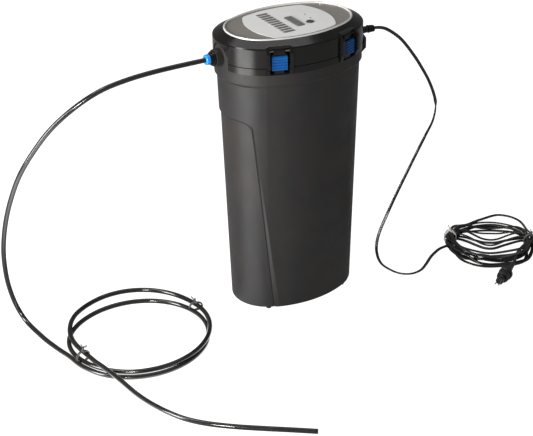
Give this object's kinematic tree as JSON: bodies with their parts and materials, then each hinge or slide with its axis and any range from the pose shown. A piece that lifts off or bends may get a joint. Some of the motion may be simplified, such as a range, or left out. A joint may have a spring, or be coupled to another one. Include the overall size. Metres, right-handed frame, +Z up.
{
  "type": "pond dosing canister",
  "caption": "Tapered oval tank with a latched glossy pump head, push-button dosing panel, thin dosing tube and a low-voltage lead with a round plug.",
  "frame": {"origin": "middle of the base on the floor, under the centre of the oval", "axes": "+X along the long axis of the oval towards the power lead, -X towards the dosing port, -Y towards the front, +Z up"},
  "size_m": [0.7626, 0.4204, 0.3915],
  "materials": {
    "canister": "fine matte",
    "head": "gloss",
    "rubber": "satin",
    "grip": "satin",
    "collet": "gloss",
    "trim": "polished",
    "fascia": "satin",
    "overlay": "satin",
    "bars": "satin",
    "key": "satin",
    "power": "satin",
    "lens": "clear",
    "steel": "brushed",
    "brass": "plated",
    "board": "lacquered",
    "led": "clear",
    "inner": "moulded",
    "white": "moulded",
    "silicone": "translucent",
    "film": "film",
    "tube": "gloss vinyl",
    "lead": "vinyl",
    "tie": "paper-covered wire",
    "pale_tie": "paper-covered wire"
  },
  "bodies": {
    "canister": {"canister_shell": "canister", "latch_keepers": "canister", "feet": "rubber", "rim_gasket": "rubber", "port_body": "head", "port_nut": "head", "port_oring": "rubber", "grab_ring": "steel", "dock_socket": "inner", "pouch": "film", "pouch_spout": "white", "pouch_cap": "white", "cord_gland": "head", "cord_boot": "rubber", "power_socket": "inner", "power_cord": "lead", "cord_coil": "lead", "cord_ties": "pale_tie", "plug_body": "lead", "plug_pins": "steel", "tube_run": "tube", "tube_coil": "tube", "tube_tail": "tube", "tube_ties": "tie"},
    "head": {"head_cover": "head", "head_base": "head", "trim_ring": "trim", "fascia": "fascia", "overlay": "overlay", "level_bars": "bars", "indicator_lenses": "lens", "circuit_board": "board", "switches": "inner", "leds": "led", "cover_screws": "steel", "gear_motor": "steel", "pump_housing": "inner", "pump_cover": "inner", "squeeze_tube": "silicone", "outlet_hose": "silicone", "inlet_nipple": "white", "outlet_elbow": "white", "power_pins": "brass", "latch_pins": "steel"},
    "latch_front_left": {"latch_arm_front_left": "head", "latch_grip_front_left": "grip"},
    "latch_front_right": {"latch_arm_front_right": "head", "latch_grip_front_right": "grip"},
    "latch_back_left": {"latch_arm_back_left": "head", "latch_grip_back_left": "grip"},
    "latch_back_right": {"latch_arm_back_right": "head", "latch_grip_back_right": "grip"},
    "collet": {"collet": "collet"},
    "dose_key": {"dose_rocker": "key"},
    "power_key": {"power_button": "power"},
    "pump_rotor": {"rotor": "white"},
    "pump_roller_1": {"roller_1": "steel"},
    "pump_roller_2": {"roller_2": "steel"},
    "pump_roller_3": {"roller_3": "steel"},
    "plug_lock": {"plug_ring": "lead"}
  },
  "joints": [
    {"name": "head_lift", "type": "slide", "parent": "canister", "child": "head", "axis": [0, 0, 1], "range_m": [0, 0.12]},
    {"name": "latch_front_left_swing", "type": "hinge", "parent": "head", "child": "latch_front_left", "pos_m": [-0.0488, -0.05963, 0.3795], "axis": [-0.9429, 0.3332, 0], "range_deg": [0, 80]},
    {"name": "latch_front_right_swing", "type": "hinge", "parent": "head", "child": "latch_front_right", "pos_m": [0.0488, -0.05963, 0.3795], "axis": [-0.9429, -0.3332, 0], "range_deg": [0, 80]},
    {"name": "latch_back_left_swing", "type": "hinge", "parent": "head", "child": "latch_back_left", "pos_m": [-0.0488, 0.05963, 0.3795], "axis": [0.9429, 0.3332, 0], "range_deg": [0, 80]},
    {"name": "latch_back_right_swing", "type": "hinge", "parent": "head", "child": "latch_back_right", "pos_m": [0.0488, 0.05963, 0.3795], "axis": [0.9429, -0.3332, 0], "range_deg": [0, 80]},
    {"name": "collet_press", "type": "slide", "parent": "canister", "child": "collet", "axis": [1, 0, 0], "range_m": [0, 0.0014], "stiffness_N_per_m": 800},
    {"name": "dose_rock", "type": "hinge", "parent": "head", "child": "dose_key", "pos_m": [0.0055, -0.0055, 0.3865], "axis": [1, 0, 0], "range_deg": [-3, 3], "stiffness_Nm_per_rad": 1.5},
    {"name": "power_press", "type": "slide", "parent": "head", "child": "power_key", "axis": [0, 0, -1], "range_m": [0, 0.0008], "stiffness_N_per_m": 1500},
    {"name": "pump_spin", "type": "hinge", "parent": "head", "child": "pump_rotor", "pos_m": [-0.02, 0, 0.34], "axis": [0, 0, 1], "continuous": true},
    {"name": "roller_1_spin", "type": "hinge", "parent": "pump_rotor", "child": "pump_roller_1", "pos_m": [-0.02, 0.0145, 0.332], "axis": [0, 0, 1], "continuous": true},
    {"name": "roller_2_spin", "type": "hinge", "parent": "pump_rotor", "child": "pump_roller_2", "pos_m": [-0.03256, -0.00725, 0.332], "axis": [0, 0, 1], "continuous": true},
    {"name": "roller_3_spin", "type": "hinge", "parent": "pump_rotor", "child": "pump_roller_3", "pos_m": [-0.00744, -0.00725, 0.332], "axis": [0, 0, 1], "continuous": true},
    {"name": "plug_ring_turn", "type": "hinge", "parent": "canister", "child": "plug_lock", "pos_m": [0.25851, -0.1543, 0.0099], "axis": [-0.866, -0.5, 0], "continuous": true}
  ],
  "couplings": [
    {"joint": "roller_1_spin", "follows": "pump_spin", "ratio": -3.8},
    {"joint": "roller_2_spin", "follows": "pump_spin", "ratio": -3.8},
    {"joint": "roller_3_spin", "follows": "pump_spin", "ratio": -3.8}
  ]
}
